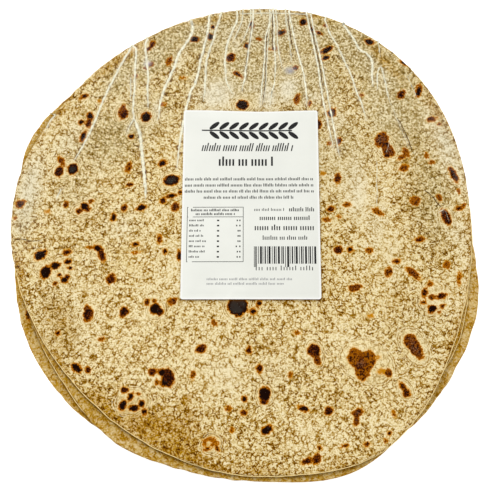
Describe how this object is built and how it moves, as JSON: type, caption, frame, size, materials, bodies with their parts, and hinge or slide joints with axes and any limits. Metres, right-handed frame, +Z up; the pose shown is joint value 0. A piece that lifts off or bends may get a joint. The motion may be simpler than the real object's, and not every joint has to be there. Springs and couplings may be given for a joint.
{
  "type": "film-packed stack of multigrain flatbreads",
  "caption": "Flat stack of round multigrain flatbreads sealed in tight clear film, with gathered pleats at one end and a plain printed-shape label on top.",
  "frame": {"origin": "on the surface the pack lies on, under the middle of its bounding box", "axes": "+Z up through the flat stack, +Y towards the end where the film is gathered into pleats, +X to the right as seen from above"},
  "size_m": [0.2392, 0.2484, 0.0097],
  "materials": {
    "film_over_bread": "speckled tan flatbread with char marks under tight clear film",
    "label_paper": "off-white coated paper label with dark printed shapes"
  },
  "bodies": {
    "root": {"pack": "film_over_bread", "label": "label_paper"}
  },
  "joints": []
}
